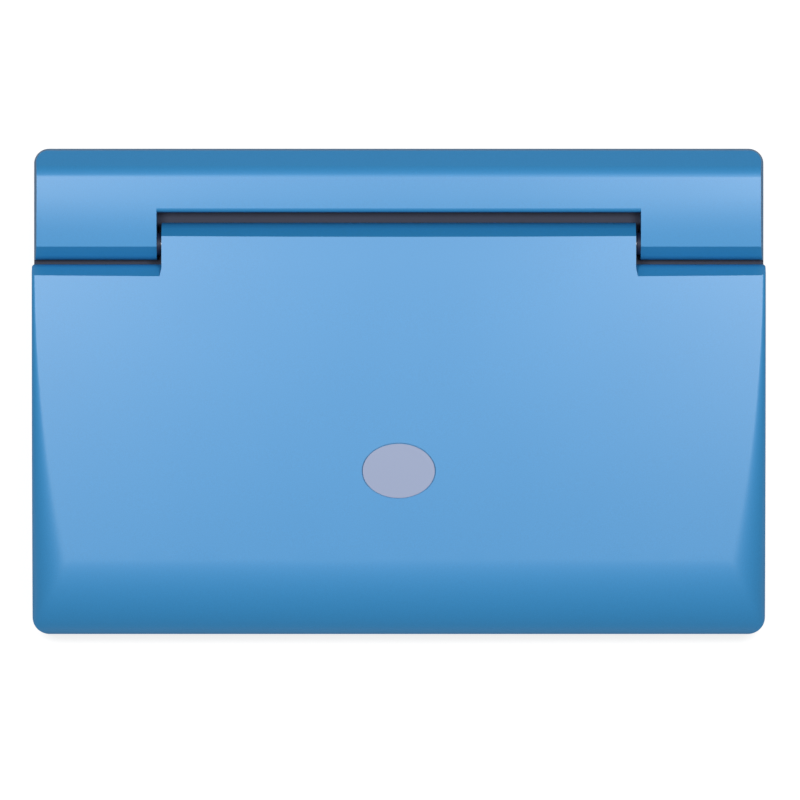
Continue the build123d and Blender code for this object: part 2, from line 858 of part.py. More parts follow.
def key_layout():
    # Each key's name, and its left edge, row and width in columns of one pitch.
    keys = key_row("qwertyuiop", block_left, 0)
    keys.append(("key_backspace", (block_left + 10 * pitch_x, 0, 1.75)))
    keys += key_row("asdfghjkl", block_left + 0.25 * pitch_x, 1)
    keys.append(("key_enter", (block_left + 9.25 * pitch_x, 1, 2.5)))
    keys.append(("key_shift", (block_left, 2, 1.75)))
    keys += key_row("zxcvbnm", block_left + 1.75 * pitch_x, 2)
    keys.append(("key_space", (block_left + 2.75 * pitch_x, 3, 6.0)))
    keys += key_row(["up"], arrow_left + pitch_x, 2)
    keys += key_row(["left", "down", "right"], arrow_left, 3)
    return keys


def key_box(left, row, columns):
    # Centre and size of a cap.
    x = left + columns * pitch_x / 2
    y = rows_rear - (row + 0.5) * pitch_y
    return x, y, columns * pitch_x - key_gap, pitch_y - key_gap


def key(left, row, columns):
    x, y, width, length = key_box(left, row, columns)
    cap = extrude(Pos(x, y, flange_top) * RectangleRounded(width, length, key_corner), key_top - flange_top,
                  taper=key_taper)
    cap = fillet(cap.faces().sort_by(Axis.Z)[-1].edges(), key_edge_round)
    chord = length - 2 * key_edge_round - 2 * dish_margin
    dish_radius = (chord ** 2 / 4 + dish_depth ** 2) / (2 * dish_depth)
    cap -= rod(x - width, x + width, y, key_top - dish_depth + dish_radius, dish_radius)
    flange_width = width + 2 * key_flange
    flange_length = length + 2 * key_flange
    cap += plate(x, y, flange_width, flange_length, key_corner, flange_bottom, flange_top)
    roof = key_top - dish_depth - key_wall
    inner_width = width - 2 * (key_wall + wall_taper)
    inner_length = length - 2 * (key_wall + wall_taper)
    cap -= plate(x, y, inner_width, inner_length, key_corner / 2, flange_bottom - past, roof)
    return cap + post(x, y, stem_radius, stem_bottom, roof + stem_merge)


def key_window(left, row, columns):
    x, y, width, length = key_box(left, row, columns)
    grow = 2 * key_clearance
    return plate(x, y, width + grow, length + grow, key_corner, well_bottom - past, well_top + past)


def wells(grow, z0, z1):
    # Outlines of the letter block's well and the arrow keys' well.
    width = letter_columns * pitch_x - key_gap + 2 * (well_margin + grow)
    x = block_left + letter_columns * pitch_x / 2
    length = 4 * pitch_y - key_gap + 2 * (well_margin + grow)
    y = (rows_rear + rows_front) / 2
    shape = plate(x, y, width, length, well_corner + grow, z0, z1)
    width = arrow_columns * pitch_x - key_gap + 2 * (well_margin + grow)
    length = 2 * pitch_y - key_gap + 2 * (well_margin + grow)
    return shape + plate(button_x, rows_front + pitch_y, width, length, well_corner + grow, z0, z1)


def grille(x, y):
    # Round holes on a triangular grid inside a circle.
    holes = []
    steps = int(grille_radius / grille_pitch) + 1
    for row in range(-steps, steps + 1):
        for column in range(-steps, steps + 1):
            dx = (column + 0.5 * (row % 2)) * grille_pitch
            dy = row * grille_pitch * math.sqrt(3) / 2
            if math.hypot(dx, dy) <= grille_radius:
                holes.append(post(x + dx, y + dy, grille_hole, panel_bottom - past, deck_height + past))
    return Part() + holes


def strip_plate(grow, z0, z1):
    x = block_left + strip_length / 2
    width = strip_length - key_gap + 2 * grow
    return plate(x, strip_y, width, strip_depth + 2 * grow, pad_corner + grow, z0, z1)


def deck_panel():
    panel = panel_plate(0, panel_bottom, deck_height)
    panel += wells(well_floor, well_bottom, deck_height)
    panel -= wells(0, well_top, deck_height + past)
    for name, place in key_layout():
        panel -= key_window(*place)
    floor = deck_height - strip_recess
    panel -= strip_plate(strip_clearance, floor, deck_height + past)
    opening = button_radius + key_clearance
    panel -= post(button_x, button_y, opening, panel_bottom - past, deck_height + past)
    for side in (-1, 1):
        panel -= grille(side * speaker_x, speaker_y)
    for x, y in front_screw_places():
        panel += post(x, y, boss_radius, parting_height, panel_bottom)
        panel -= post(x, y, screw_radius + pilot_clearance, parting_height - past, panel_bottom - past)
    return panel


def number_strip():
    floor = deck_height - strip_recess
    top = floor + strip_thickness
    strip = strip_plate(0, floor, top)
    pad_pitch = (strip_length - key_gap) / 10
    width = pad_pitch - pad_gap
    length = strip_depth - pad_gap
    for index in range(10):
        x = block_left + key_gap / 2 + (index + 0.5) * pad_pitch
        strip += plate(x, strip_y, width, length, pad_corner, top, top + pad_height)
    return strip


def power_button():
    top = deck_height + button_proud
    shelf = panel_bottom - flange_clearance
    cap = post(button_x, button_y, button_radius, shelf - flange_thickness, top)
    cap = fillet(cap.faces().sort_by(Axis.Z)[-1].edges(), key_edge_round)
    cap += post(button_x, button_y, button_radius + button_flange, shelf - flange_thickness, shelf)
    cap -= post(button_x, button_y, button_radius - key_wall, shelf - far_past, top - key_wall)
    return cap + post(button_x, button_y, stem_radius, stem_bottom, top - stem_merge)


def board_outline(inset, z0, z1):
    x0 = block_left - board_edge + inset
    x1 = arrow_left + arrow_columns * pitch_x + board_edge - inset
    y0 = rows_front + board_edge + inset
    y1 = rows_rear - inset
    return block(x0, x1, y0, y1, z0, z1)


def key_dome_mat():
    mat = board_outline(mat_inset, mat_bottom, mat_top)
    places = [key_box(*place)[:2] for name, place in key_layout()]
    domes = []
    for x, y in places + [(button_x, button_y)]:
        dome = Pos(x, y, (mat_top + dome_top) / 2) * Cone(dome_radius, stem_radius, dome_top - mat_top)
        domes.append(dome)
    return mat + domes


def keyboard_board():
    return board_outline(0, board_bottom, mat_bottom)


def chip(x, y, width, length, height):
    x0, x1 = x - width / 2, x + width / 2
    y0, y1 = y - length / 2, y + length / 2
    return block(x0, x1, y0, y1, board_top, board_top + height)


def main_board():
    half = main_board_half
    board = block(-half, half, main_board_front, main_board_rear, board_low, board_top)
    board += chip(-chip_spread, 0, processor_size, processor_size, chip_height)
    board += chip(chip_spread, 0, memory_size, processor_size, chip_height)
    board += chip(-2 * chip_spread, 0, memory_size, memory_size, chip_height)
    board += chip(half - socket_width / 2, socket_y, socket_width, socket_length, socket_height)
    for x in (-half + standoff_inset, half - standoff_inset):
        for y in (main_board_front + standoff_inset, main_board_rear - standoff_rear):
            board += post(x, y, standoff_radius, floor_top, board_low)
    return board


def speakers():
    both = []
    top = panel_bottom - speaker_gap
    rim_low = top - speaker_rim
    magnet_top = rim_low - basket_height
    for side in (-1, 1):
        x = side * speaker_x
        rim = post(x, speaker_y, speaker_radius, rim_low, top)
        rim -= post(x, speaker_y, speaker_radius - speaker_lip, top - speaker_rim / 2, top + past)
        basket = Pos(x, speaker_y, (rim_low + magnet_top) / 2)
        basket = basket * Cone(magnet_radius, speaker_radius - speaker_rim, basket_height)
        magnet = post(x, speaker_y, magnet_radius, top - speaker_height, magnet_top)
        both.append((rim + basket + magnet).solid())
    return Compound(both)


# Battery compartment

def cell_row_y(row):
    return battery_y + row * (cell_radius + cell_gap / 2)


def cell(x0, x1, y, nub_side):
    # One cell with its contact nub at its lower (-1) or higher (1) end.
    flat = x0 if nub_side > 0 else x1
    tip = x1 if nub_side > 0 else x0
    shoulder = tip - nub_side * cell_nub_length
    ends = sorted((flat, shoulder))
    body = rod(ends[0], ends[1], y, cell_z, cell_radius)
    ends = sorted((shoulder, tip - nub_side * cell_end_gap))
    return (body + rod(ends[0], ends[1], y, cell_z, cell_nub_radius)).solid()


def aa_cells():
    # Two rows of two, pointing opposite ways.
    cells = []
    for row in (-1, 1):
        for x0 in (-cell_length, 0.0):
            cells.append(cell(x0, x0 + cell_length, cell_row_y(row), row))
    return Compound(cells)


def contact(side, row):
    # A leaf on the end wall, with a bent tongue that presses on the cell.
    y = cell_row_y(row)
    wall = side * cell_room_length / 2
    middle = wall - side * contact_thickness / 2
    inner = middle - side * spring_thickness
    tip = side * (cell_length + contact_gap)
    back = sorted((wall, wall - side * contact_thickness))
    leaf = block(back[0], back[1], y - leaf_half, y + leaf_half, cell_z - leaf_low, cell_z + leaf_high)
    path = [
        (middle, cell_z + spring_high),
        (tip + side * contact_thickness, cell_z),
        (middle, cell_z - spring_low),
        (inner, cell_z - spring_low),
        (tip, cell_z),
        (inner, cell_z + spring_high),
    ]
    face = Plane.XZ.offset(spring_half - y) * make_face(Polyline(path, close=True))
    return (leaf + extrude(face, -2 * spring_half)).solid()


def battery_contacts():
    return Compound([contact(side, row) for side in (-1, 1) for row in (-1, 1)])


def battery_door():
    top = foot_height + door_thickness
    door = door_outline(0, foot_height, top)
    door -= post(0, tab_y, screw_radius + screw_clearance, foot_height - past, top + past)
    head_end = foot_height + door_head_depth
    door -= post(0, tab_y, screw_head_radius + screw_clearance, foot_height - past, head_end)
    for index in range(grip_count):
        y = battery_y + grip_shift + grip_pitch * index
        y0, y1 = y - grip_width / 2, y + grip_width / 2
        door -= block(-grip_half, grip_half, y0, y1, foot_height - past, foot_height + grip_depth)
    return door


def battery_door_screw():
    head_height = door_head_depth - door_head_sink
    thread = door_thickness - door_head_depth + screw_bite - pilot_spare
    return screw(0, tab_y, foot_height + door_head_sink, head_height, thread)


def case_screws():
    seat = foot_height + screw_seat - screw_head_height
    places = front_screw_places() + middle_screw_places() + rear_screw_places()
    return Compound([screw(x, y, seat, screw_head_height, screw_bite).solid() for x, y in places])


def rubber_feet():
    feet = []
    for x in (-base_half + foot_inset_x, base_half - foot_inset_x):
        for y in (base_front + foot_inset_y, rear_y - foot_inset_y):
            foot = post(x, y, foot_radius, 0, foot_height)
            foot = fillet(foot.faces().sort_by(Axis.Z)[0].edges(), foot_edge_round)
            feet.append(foot.solid())
    return Compound(feet)


# Cable

def cable(points):
    # A round cable along straight runs with round bends.
    path = FilletPolyline(points, radius=cable_bend)
    section = Plane(origin=path.position_at(0), z_dir=path.tangent_at(0)) * Circle(cable_radius)
    return sweep(section, path=path)


def cable_in_lid():
    rise = lcd_top + cable_over_display
    start = lcd_socket_y + lcd_socket_size / 2 + cable_start
    return cable([
        (lcd_socket_x, start, rise),
        (lcd_socket_x, hinge_y - cable_before_hinge, rise),
        (cable_split_x - cable_slant, hinge_y, hinge_z),
        (cable_split_x, hinge_y, hinge_z),
    ])


def cable_in_base():
    low = board_bottom - cable_radius - cable_under_board
    return cable([
        (cable_split_x, hinge_y, hinge_z),
        (cable_drop_x, hinge_y, hinge_z),
        (cable_drop_x, hinge_y, low),
        (cable_drop_x - cable_turn, socket_y, low),
        (main_board_half + cable_start, socket_y, low),
    ])


# Every node, one file each

def nodes():
    pieces = {
        "base_bottom_shell": base_bottom_shell(),
        "base_top_shell": base_top_shell(),
        "deck_panel": deck_panel(),
        "key_dome_mat": key_dome_mat(),
        "keyboard_board": keyboard_board(),
        "main_board": main_board(),
        "number_strip": number_strip(),
        "power_button": power_button(),
        "battery_door": battery_door(),
        "battery_door_screw": battery_door_screw(),
        "aa_cells": aa_cells(),
        "battery_contacts": battery_contacts(),
        "speakers": speakers(),
        "rubber_feet": rubber_feet(),
        "case_screws": case_screws(),
        "hinge_pins": hinge_pins(),
        "lid_back_shell": lid_back_shell(),
        "lid_bezel": lid_bezel(),
        "screen_window": screen_window(),
        "lcd_panel": lcd_panel(),
        "lid_badge": lid_badge(),
        "lid_screws": lid_screws(),
        "lid_bumpers": lid_bumpers(),
        "hinge_bushes": hinge_bushes(),
        "cable_in_base": cable_in_base(),
        "cable_in_lid": cable_in_lid(),
    }
    for name, place in key_layout():
        pieces[name] = key(*place)
    return pieces


os.makedirs("parts", exist_ok=True)
for node, shape in nodes().items():
    export_step(shape, "parts/" + node + ".step")
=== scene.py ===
import math

import bmesh
import bpy
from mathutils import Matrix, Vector
from mathutils.bvhtree import BVHTree

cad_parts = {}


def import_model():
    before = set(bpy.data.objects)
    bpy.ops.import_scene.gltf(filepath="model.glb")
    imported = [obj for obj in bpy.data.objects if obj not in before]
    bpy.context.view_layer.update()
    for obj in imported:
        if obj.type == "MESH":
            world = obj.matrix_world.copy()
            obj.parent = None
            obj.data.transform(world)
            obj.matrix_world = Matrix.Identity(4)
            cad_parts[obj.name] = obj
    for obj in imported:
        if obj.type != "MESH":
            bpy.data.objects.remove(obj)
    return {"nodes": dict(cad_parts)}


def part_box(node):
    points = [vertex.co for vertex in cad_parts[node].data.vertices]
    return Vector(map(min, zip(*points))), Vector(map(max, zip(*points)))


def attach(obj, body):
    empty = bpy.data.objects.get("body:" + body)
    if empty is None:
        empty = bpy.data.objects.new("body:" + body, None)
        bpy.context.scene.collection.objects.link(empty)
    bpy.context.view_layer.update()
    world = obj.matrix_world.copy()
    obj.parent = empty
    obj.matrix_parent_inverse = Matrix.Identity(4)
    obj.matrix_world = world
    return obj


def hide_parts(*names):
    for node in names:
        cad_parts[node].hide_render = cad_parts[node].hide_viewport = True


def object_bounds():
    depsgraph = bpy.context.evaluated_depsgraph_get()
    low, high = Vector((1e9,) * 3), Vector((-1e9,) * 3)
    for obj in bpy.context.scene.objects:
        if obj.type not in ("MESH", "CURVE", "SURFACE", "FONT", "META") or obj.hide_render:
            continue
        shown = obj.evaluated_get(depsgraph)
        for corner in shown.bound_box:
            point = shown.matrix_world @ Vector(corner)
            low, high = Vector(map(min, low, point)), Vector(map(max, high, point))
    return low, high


# A kids learning laptop, closed, seen from straight above. Metres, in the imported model's frame.

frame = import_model()
cad_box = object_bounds()
nodes = frame["nodes"]
scene = bpy.context.scene

# Camera: the object's outline and its place in the photograph
photo_size = 800
photo_left, photo_right = 31.5, 766.0
photo_top, photo_bottom = 147.5, 635.0
lens = 500.0
sensor = 36.0

# Heights and places read from the CAD nodes
deck_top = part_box("deck_panel")[1].z
strip_low, strip_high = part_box("number_strip")
window_low, window_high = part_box("screen_window")
cells_low, cells_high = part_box("aa_cells")

# Places where one node's colour changes
deck_tolerance = 0.00006    # above and below the deck, for the rim round the keyboard panel
collar_x = 0.10145          # middle of the hinge collars between the lid's tongue and the ears
collar_half = 0.00100
collar_reach = 0.0090       # in front of and behind the hinge
hinge_y = 0.0625
groove_front = 0.0506       # hinge groove, behind the keyboard panel
display_margin_x = 0.009    # black border round the display area
display_margin_y = 0.008
pad_count = 10
pad_depth = 0.00020         # of the colour on the number pads, below their tops
cell_end = 0.0022           # bare metal at each end of a cell
cell_band = 0.0060          # half of the pale band round its middle

# Form of the lid's top
lid_low, lid_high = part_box("lid_back_shell")
lid_half = lid_high.x
lid_front = lid_low.y
lid_rear = 0.0538           # beside the tongue
lid_top = 0.0435
lid_fall = 0.0032           # from the tongue to the front
fall_power = 1.4
share_limit = 1.1           # of the way to the front, a little past the rim
lid_crown = 0.0009
side_run_rear, side_run_front = 0.0014, 0.0230
side_drop_rear, side_drop_front = 0.0014, 0.0130
front_run = 0.0320
front_drop = 0.0166
edge_fullness = 0.93        # how close the rounding comes to vertical at the rim
blend = 3.0

# Faces of the lid's skin
skin_slope = 0.2            # least upward share of a skin face's normal
skin_tolerance = 0.00008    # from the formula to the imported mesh
first_cut = 0.0003          # from the rim
cut_growth = 1.22
fine_zone = 0.030           # the cuts grow apart up to here
coarse_step = 0.007
cut_snap = 0.00001

# Printing on the keys
lift = 0.00003              # ink above the plastic
letter_size = 0.0072
digit_size = 0.0082
icon_size = 0.0026
power_size = 0.0030
slices = 0.0006             # spacing of the cuts that let ink follow a dished key
above_all = 0.1             # where the rays start that find the plastic under the ink

# Gloss of the blue plastic
flake_share = 0.15          # metallic
coat = 0.5
coat_roughness = 0.30

# Floor and lights
floor_size = 8.0
floor_gap = 0.0001          # under the feet
floor_grey = 0.35
floor_glow = 0.8            # to the camera and in reflections
shadow_reach = 0.30         # over which the glow in reflections returns, away from the object
world_light = 0.25
lamp_x = 0.33
lamp_y = 0.14
lamp_z = 1.5
lamp_size = 0.28
lamp_aim = (0, 0, 0.04)
left_power = 9.5
right_power = 10.0

# Colours, linear
blue = (0.021, 0.235, 0.520)
deep_blue = (0.012, 0.110, 0.290)
lavender = (0.235, 0.290, 0.450)
charcoal = (0.022, 0.024, 0.030)
# painted shade: a blue-black for the blue plastic down in the hinge groove and on its collars
painted_groove_shade = (0.006, 0.012, 0.040)
key_white = (0.72, 0.74, 0.76)
key_teal = (0.020, 0.330, 0.420)
key_green = (0.150, 0.430, 0.070)
orange = (0.800, 0.220, 0.020)
ink = (0.012, 0.030, 0.090)
pad_colours = [
    (0.70, 0.05, 0.03),
    (0.80, 0.36, 0.02),
    (0.16, 0.43, 0.06),
    (0.02, 0.33, 0.42),
    (0.25, 0.08, 0.42),
]


# Material helpers

def new_material(name):
    made = bpy.data.materials.new(name)
    made.use_nodes = True
    return made, made.node_tree, made.node_tree.nodes["Principled BSDF"]


def node(tree, kind, **settings):
    made = tree.nodes.new(kind)
    for key, value in settings.items():
        setattr(made, key, value)
    return made


def place(tree):
    # Object coordinates, which are metres in the shared frame.
    return tree.nodes.get("place") or node(tree, "ShaderNodeTexCoord", name="place")


def axis(tree, name):
    parts = tree.nodes.get("axes")
    if not parts:
        parts = node(tree, "ShaderNodeSeparateXYZ", name="axes")
        tree.links.new(place(tree).outputs["Object"], parts.inputs["Vector"])
    return parts.outputs[name]


def noise(tree, scale, detail=2.0, kind="ShaderNodeTexNoise"):
    made = node(tree, kind)
    made.inputs["Scale"].default_value = scale
    if "Detail" in made.inputs:
        made.inputs["Detail"].default_value = detail
    tree.links.new(place(tree).outputs["Object"], made.inputs["Vector"])
    return made


def math_node(tree, operation, first, second=0.0):
    made = node(tree, "ShaderNodeMath", operation=operation)
    for socket, value in zip(made.inputs, (first, second)):
        if isinstance(value, float):
            socket.default_value = value
        else:
            tree.links.new(value, socket)
    return made.outputs["Value"]


def beyond(tree, value, edge, blur=0.00002):
    # 0 below the edge, 1 above it.
    made = node(tree, "ShaderNodeMapRange")
    made.inputs["From Min"].default_value = edge - blur
    made.inputs["From Max"].default_value = edge + blur
    tree.links.new(value, made.inputs["Value"])
    return made.outputs["Result"]


def inside(tree, value, middle, half, blur=0.00002):
    # 1 within half of the middle, else 0.
    away = math_node(tree, "ABSOLUTE", math_node(tree, "SUBTRACT", value, middle))
    return math_node(tree, "SUBTRACT", 1.0, beyond(tree, away, half, blur))


def mix_colour(tree, factor, low, high):
    # Colours may be values or the outputs of other nodes.
    mix = node(tree, "ShaderNodeMix", data_type="RGBA")
    for name, value in (("A", low), ("B", high)):
        if isinstance(value, tuple):
            mix.inputs[name].default_value = (*value, 1)
        else:
            tree.links.new(value, mix.inputs[name])
    tree.links.new(factor, mix.inputs["Factor"])
    return mix.outputs["Result"]


def vary_colour(tree, shader, source, low, high):
    tree.links.new(mix_colour(tree, source, low, high), shader.inputs["Base Color"])


def vary_roughness(tree, shader, source, low, high):
    spread = node(tree, "ShaderNodeMapRange")
    spread.inputs["To Min"].default_value = low
    spread.inputs["To Max"].default_value = high
    tree.links.new(source, spread.inputs["Value"])
    tree.links.new(spread.outputs["Result"], shader.inputs["Roughness"])


def bump(tree, shader, source, height):
    made = node(tree, "ShaderNodeBump")
    made.inputs["Distance"].default_value = height
    made.inputs["Strength"].default_value = 1.0
    tree.links.new(source, made.inputs["Height"])
    tree.links.new(made.outputs["Normal"], shader.inputs["Normal"])


def scaled(colour, factor):
    return tuple(c * factor for c in colour)


# Materials

def satin_blue(name):
    # Metallic plastic under a satin coat: fine flakes in its colour, a slight orange peel in its gloss.
    made, tree, shader = new_material(name)
    flakes = noise(tree, 2600.0, 1.0)
    cloud = noise(tree, 9.0, 2.0)
    vary_colour(tree, shader, flakes.outputs["Fac"], scaled(blue, 0.88), scaled(blue, 1.12))
    vary_roughness(tree, shader, cloud.outputs["Fac"], 0.56, 0.64)
    bump(tree, shader, flakes.outputs["Fac"], 0.000010)
    shader.inputs["Metallic"].default_value = flake_share
    shader.inputs["Coat Weight"].default_value = coat
    shader.inputs["Coat Roughness"].default_value = coat_roughness
    return made


def satin_blue_with_deck(name):
    # The base's top shell: matt charcoal round the keyboard panel, painted shade in matt blue-black down
    # in the hinge groove and on the hinge collars.
    made = satin_blue(name)
    tree = made.node_tree
    shader = tree.nodes["Principled BSDF"]
    painted = shader.inputs["Base Color"].links[0].from_socket
    rim = inside(tree, axis(tree, "Z"), deck_top, deck_tolerance)
    # The hinge collars lie in the groove too, so they also get the painted shade.
    across = inside(tree, math_node(tree, "ABSOLUTE", axis(tree, "X")), collar_x, collar_half)
    along = inside(tree, axis(tree, "Y"), hinge_y, collar_reach)
    collar = math_node(tree, "MULTIPLY", across, along)
    matt = math_node(tree, "MAXIMUM", rim, collar)
    # In the groove the matt parts take painted shade in place of charcoal.
    groove_shade_mask = beyond(tree, axis(tree, "Y"), groove_front)
    charcoal_and_groove_shade = mix_colour(tree, groove_shade_mask, charcoal, painted_groove_shade)
    tree.links.new(mix_colour(tree, matt, painted, charcoal_and_groove_shade), shader.inputs["Base Color"])
    gloss = math_node(tree, "MULTIPLY", math_node(tree, "SUBTRACT", 1.0, matt), coat)
    tree.links.new(gloss, shader.inputs["Coat Weight"])
    return made


def moulded(name, colour, roughness, grain=1500.0, depth=0.00002, spread=0.05):
    # Plain moulded plastic with a spark-eroded grain.
    made, tree, shader = new_material(name)
    texture = noise(tree, grain, 3.0)
    cloud = noise(tree, 25.0, 2.0)
    vary_colour(tree, shader, cloud.outputs["Fac"], scaled(colour, 1 - spread), scaled(colour, 1 + spread))
    vary_roughness(tree, shader, texture.outputs["Fac"], roughness - 0.05, roughness + 0.07)
    bump(tree, shader, texture.outputs["Fac"], depth)
    return made


def metal(name, colour, roughness, scale=(900.0, 900.0, 30.0)):
    # Bare metal with fine drawing lines along the axis of the smallest scale.
    made, tree, shader = new_material(name)
    stretch = node(tree, "ShaderNodeMapping")
    stretch.inputs["Scale"].default_value = scale
    lines = node(tree, "ShaderNodeTexNoise")
    lines.inputs["Scale"].default_value = 1.0
    tree.links.new(place(tree).outputs["Object"], stretch.inputs["Vector"])
    tree.links.new(stretch.outputs["Vector"], lines.inputs["Vector"])
    vary_colour(tree, shader, lines.outputs["Fac"], scaled(colour, 0.85), scaled(colour, 1.1))
    vary_roughness(tree, shader, lines.outputs["Fac"], roughness - 0.08, roughness + 0.1)
    shader.inputs["Metallic"].default_value = 1.0
    return made


def rubber(name, colour):
    return moulded(name, colour, 0.8, grain=2600.0, depth=0.00003, spread=0.1)


def board(name, colour):
    # Solder mask over faint straight traces.
    made, tree, shader = new_material(name)
    cells = noise(tree, 260.0, kind="ShaderNodeTexVoronoi")
    cells.distance = "MANHATTAN"
    cells.feature = "DISTANCE_TO_EDGE"
    ramp = node(tree, "ShaderNodeMapRange")
    ramp.inputs["From Max"].default_value = 0.08
    tree.links.new(cells.outputs["Distance"], ramp.inputs["Value"])
    vary_colour(tree, shader, ramp.outputs["Result"], scaled(colour, 1.9), colour)
    vary_roughness(tree, shader, ramp.outputs["Result"], 0.25, 0.38)
    return made


def screen():
    # Glossy black border round a display area with a fine grid of dots.
    made, tree, shader = new_material("screen")
    middle = (window_low.y + window_high.y) / 2
    half_x = (window_high.x - window_low.x) / 2 - display_margin_x
    half_y = (window_high.y - window_low.y) / 2 - display_margin_y
    across = inside(tree, axis(tree, "X"), 0.0, half_x)
    along = inside(tree, axis(tree, "Y"), middle, half_y)
    area = math_node(tree, "MULTIPLY", across, along)
    dots = noise(tree, 1250.0, kind="ShaderNodeTexVoronoi")
    dots.inputs["Randomness"].default_value = 0.0
    haze = noise(tree, 14.0, 2.0)
    glass = mix_colour(tree, dots.outputs["Distance"], (0.055, 0.066, 0.070), (0.030, 0.037, 0.041))
    border = mix_colour(tree, haze.outputs["Fac"], (0.004, 0.005, 0.006), (0.008, 0.009, 0.011))
    vary_colour(tree, shader, area, border, glass)
    vary_roughness(tree, shader, haze.outputs["Fac"], 0.07, 0.11)
    shader.inputs["Coat Weight"].default_value = 0.5
    shader.inputs["Coat Roughness"].default_value = 0.05
    return made


def number_film():
    # Dark film with coloured pads standing a little proud of it.
    made, tree, shader = new_material("number_film")
    ramp = node(tree, "ShaderNodeValToRGB")
    ramp.color_ramp.interpolation = "CONSTANT"
    stops = ramp.color_ramp.elements
    while len(stops) < pad_count:
        stops.new(len(stops) / pad_count)
    for index in range(pad_count):
        stops[index].position = index / pad_count
        stops[index].color = (*pad_colours[index % len(pad_colours)], 1)
    along = node(tree, "ShaderNodeMapRange")
    along.inputs["From Min"].default_value = strip_low.x
    along.inputs["From Max"].default_value = strip_high.x
    tree.links.new(axis(tree, "X"), along.inputs["Value"])
    tree.links.new(along.outputs["Result"], ramp.inputs["Fac"])
    grain = noise(tree, 1800.0, 3.0)
    raised = beyond(tree, axis(tree, "Z"), strip_high.z - pad_depth)
    vary_colour(tree, shader, raised, (0.035, 0.038, 0.048), ramp.outputs["Color"])
    vary_roughness(tree, shader, grain.outputs["Fac"], 0.32, 0.44)
    bump(tree, shader, grain.outputs["Fac"], 0.00001)
    return made


def cell_jacket():
    # A dark jacket, and a bare metal end and nub at each end of each cell.
    made, tree, shader = new_material("cell_jacket")
    length = (cells_high.x - cells_low.x) / 2
    start = math_node(tree, "SUBTRACT", axis(tree, "X"), cells_low.x)
    within = math_node(tree, "MODULO", start, length)
    away = math_node(tree, "ABSOLUTE", math_node(tree, "SUBTRACT", within, length / 2))
    end = beyond(tree, away, length / 2 - cell_end)
    band = inside(tree, within, length / 2, cell_band)
    jacket = mix_colour(tree, band, (0.030, 0.036, 0.042), (0.30, 0.33, 0.34))
    vary_colour(tree, shader, end, jacket, (0.55, 0.55, 0.53))
    tree.links.new(end, shader.inputs["Metallic"])
    print_grain = noise(tree, 900.0, 2.0)
    vary_roughness(tree, shader, print_grain.outputs["Fac"], 0.26, 0.36)
    return made


def keycap(name, colour):
    return moulded(name, colour, 0.42, grain=2200.0, depth=0.00001, spread=0.03)


lid_blue = satin_blue("lid_blue")
bottom_blue = moulded("bottom_blue", deep_blue, 0.5, grain=1300.0, depth=0.00003, spread=0.06)
screw_steel = metal("screw_steel", (0.45, 0.45, 0.46), 0.3)
sheath = rubber("cable_sheath", (0.015, 0.015, 0.016))
white_ink = moulded("white_ink", (0.80, 0.81, 0.83), 0.5, grain=3000.0, depth=0.000003, spread=0.02)
dark_ink = moulded("dark_ink", ink, 0.5, grain=3000.0, depth=0.000003, spread=0.05)
materials = {
    "lid_back_shell": lid_blue,
    "base_top_shell": satin_blue_with_deck("bar_blue"),
    "base_bottom_shell": bottom_blue,
    "battery_door": bottom_blue,
    "deck_panel": moulded("deck_charcoal", charcoal, 0.55, depth=0.00003),
    "lid_bezel": moulded("bezel_charcoal", charcoal, 0.5, depth=0.00003),
    "lid_badge": moulded("badge_lavender", lavender, 0.38, grain=2600.0, depth=0.000006, spread=0.02),
    "number_strip": number_film(),
    "power_button": moulded("button_orange", orange, 0.35),
    "key_dome_mat": rubber("silicone", (0.45, 0.46, 0.48)),
    "keyboard_board": board("keyboard_mask", (0.012, 0.10, 0.035)),
    "main_board": board("main_mask", (0.012, 0.09, 0.04)),
    "aa_cells": cell_jacket(),
    "battery_contacts": metal("nickel", (0.62, 0.60, 0.56), 0.25),
    "speakers": moulded("speaker_cone", (0.015, 0.015, 0.016), 0.75),
    "rubber_feet": rubber("foot_rubber", (0.018, 0.018, 0.02)),
    "case_screws": screw_steel,
    "battery_door_screw": screw_steel,
    "lid_screws": screw_steel,
    "hinge_pins": metal("pin_steel", (0.30, 0.30, 0.32), 0.35, (30.0, 900.0, 900.0)),
    "screen_window": screen(),
    "lcd_panel": moulded("lcd_frame", (0.1, 0.1, 0.11), 0.5),
    "lid_bumpers": rubber("bumper_rubber", (0.03, 0.03, 0.034)),
    "hinge_bushes": moulded("bush_nylon", (0.35, 0.35, 0.33), 0.45),
    "cable_in_base": sheath,
    "cable_in_lid": sheath,
}
key_materials = {
    "white": keycap("keycap_white", key_white),
    "teal": keycap("keycap_teal", key_teal),
    "green": keycap("keycap_green", key_green),
    "orange": keycap("keycap_orange", orange),
}
key_colours = {"key_enter": "green", "key_backspace": "orange", "key_shift": "teal"}
key_colours.update({"key_" + way: "teal" for way in ("up", "down", "left", "right")})
key_names = [name for name in nodes if name.startswith("key_") and name != "key_dome_mat"]


def dress_nodes():
    for name, shape in nodes.items():
        finish = key_materials[key_colours.get(name, "white")] if name in key_names else materials[name]
        if not shape.material_slots:
            shape.data.materials.append(finish)
        for slot in shape.material_slots:
            slot.material = finish


dress_nodes()


# The lid's skin, with the finer faces and exact slopes that its gloss needs

def rounding(distance, run, drop):
    # How far the top has fallen at a distance from the rim.
    along = (run - distance) / run
    if along <= 0:
        return 0.0
    if along <= 1:
        return drop * (1 - math.sqrt(1 - edge_fullness * along * along))
    rim_slope = edge_fullness / math.sqrt(1 - edge_fullness)
    return drop * (1 - math.sqrt(1 - edge_fullness) + (along - 1) * rim_slope)


